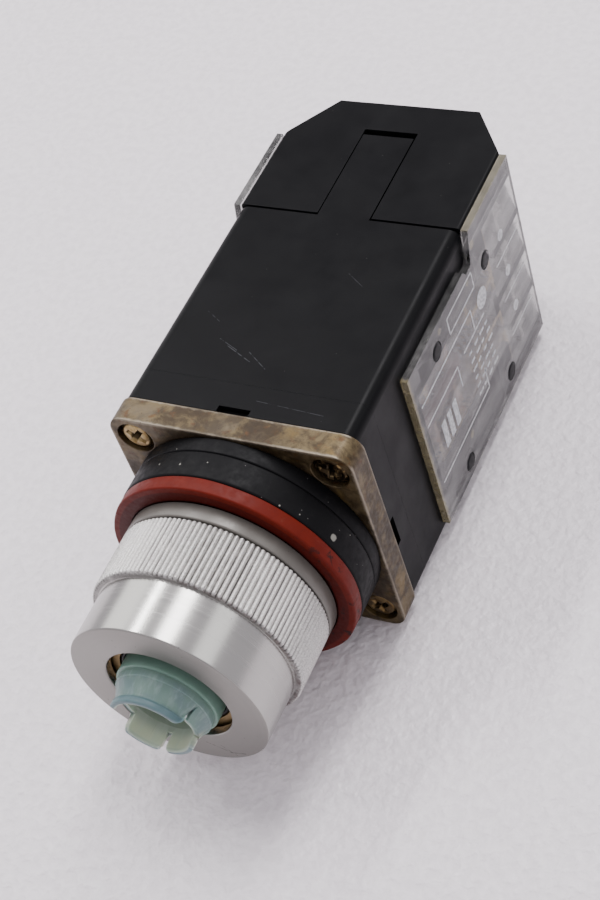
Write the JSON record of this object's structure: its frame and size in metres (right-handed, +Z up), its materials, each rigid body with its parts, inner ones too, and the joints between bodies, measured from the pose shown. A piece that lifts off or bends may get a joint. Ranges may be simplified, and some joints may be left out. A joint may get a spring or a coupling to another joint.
{
  "type": "industrial push button",
  "caption": "Panel push-button operator with a knurled aluminium guard ring, sprung lamp plunger, square base plate and a black transformer and contact housing with clear side covers.",
  "frame": {"origin": "centre of the panel gasket's front face, on the axis of the button", "axes": "-Y points out of the front of the panel along the button's axis, +Y to the rear of the housing, +Z up, +X right as seen from the front"},
  "size_m": [0.042, 0.1127, 0.0412],
  "materials": {
    "yellow_zinc_plate": "yellow chromate on zinc, worn dull",
    "bushing_zinc": "dull yellow chromate",
    "black_rubber": "matt",
    "red_gasket": "matt brick red, dirty",
    "black_collar": "matt black, dusty",
    "brass_screw": "yellow chromate, bright",
    "plain_steel": "nickel plated",
    "black_housing": "satin moulded thermoset, lightly scratched",
    "clear_cover": "aged clear polycarbonate with white line print",
    "black_pin": "satin",
    "core_steel": "varnished laminations",
    "cream_insulation": "moulded",
    "copper_winding": "enamelled wire",
    "winding_tape": "polyester tape",
    "lead_insulation": "smooth",
    "contact_brass": "satin",
    "brown_insulation": "moulded phenolic",
    "spring_steel": "drawn wire",
    "lamp_glass": "clear",
    "teal_plastic": "translucent",
    "grey_moulding": "moulded",
    "carrier_plastic": "moulded phenolic",
    "contact_copper": "satin with silver tips",
    "grey_washer": "fibre, slightly glossy edge",
    "turned_aluminium": "fine turned, knurled band"
  },
  "bodies": {
    "housing": {"base_plate": "yellow_zinc_plate", "threaded_bushing": "bushing_zinc", "plunger_seal": "black_rubber", "panel_gasket": "red_gasket", "spacer_ring": "black_collar", "flange_ring": "black_collar", "plate_screws": "brass_screw", "spring_retainer": "plain_steel", "front_adapter": "black_housing", "main_housing": "black_housing", "rear_housing": "black_housing", "contact_block_right": "grey_moulding", "contact_block_left": "grey_moulding", "clear_cover_right": "clear_cover", "clear_cover_left": "clear_cover", "cover_pins": "black_pin", "transformer_core": "core_steel", "transformer_bobbin": "cream_insulation", "primary_winding": "copper_winding", "secondary_winding": "winding_tape", "lamp_leads": "lead_insulation", "lamp_socket": "contact_brass", "socket_insulator": "brown_insulation", "socket_contact": "contact_brass", "socket_spring": "spring_steel", "lamp_bulb": "lamp_glass", "lamp_base": "contact_brass", "fixed_contacts_right": "contact_brass", "fixed_contacts_left": "contact_brass", "terminal_clamps": "plain_steel", "terminal_screws": "plain_steel", "supply_terminals": "contact_brass", "supply_screws": "plain_steel", "return_spring": "spring_steel", "carrier_spring_right": "spring_steel", "carrier_spring_left": "spring_steel"},
    "button": {"plunger": "teal_plastic", "actuator": "grey_moulding", "retaining_clip": "spring_steel"},
    "contacts_right": {"contact_carrier_right": "carrier_plastic", "contact_bridges_right": "contact_copper", "bridge_springs_right": "spring_steel"},
    "contacts_left": {"contact_carrier_left": "carrier_plastic", "contact_bridges_left": "contact_copper", "bridge_springs_left": "spring_steel"},
    "washer": {"thrust_washer": "grey_washer"},
    "ring": {"guard_ring": "turned_aluminium"}
  },
  "joints": [
    {"name": "button_slide", "type": "slide", "parent": "housing", "child": "button", "axis": [0, 1, 0], "range_m": [0, 0.005], "stiffness_N_per_m": 900, "springref_m": -0.004, "deforming": ["return_spring"]},
    {"name": "contacts_right_slide", "type": "slide", "parent": "housing", "child": "contacts_right", "axis": [0, 1, 0], "range_m": [0, 0.005], "stiffness_N_per_m": 120, "springref_m": -0.003, "deforming": ["carrier_spring_right"]},
    {"name": "contacts_left_slide", "type": "slide", "parent": "housing", "child": "contacts_left", "axis": [0, 1, 0], "range_m": [0, 0.005], "stiffness_N_per_m": 120, "springref_m": -0.003, "deforming": ["carrier_spring_left"]},
    {"name": "ring_advance", "type": "slide", "parent": "housing", "child": "washer", "axis": [0, -1, 0], "range_m": [0, 0.003]},
    {"name": "ring_turn", "type": "hinge", "parent": "washer", "child": "ring", "pos_m": [0, 0, 0], "axis": [0, -1, 0], "range_deg": [0, 720]}
  ],
  "couplings": [
    {"joint": "contacts_right_slide", "follows": "button_slide", "ratio": 1},
    {"joint": "contacts_left_slide", "follows": "button_slide", "ratio": 1},
    {"joint": "ring_advance", "follows": "ring_turn", "m_per_rad": 0.00023873}
  ]
}
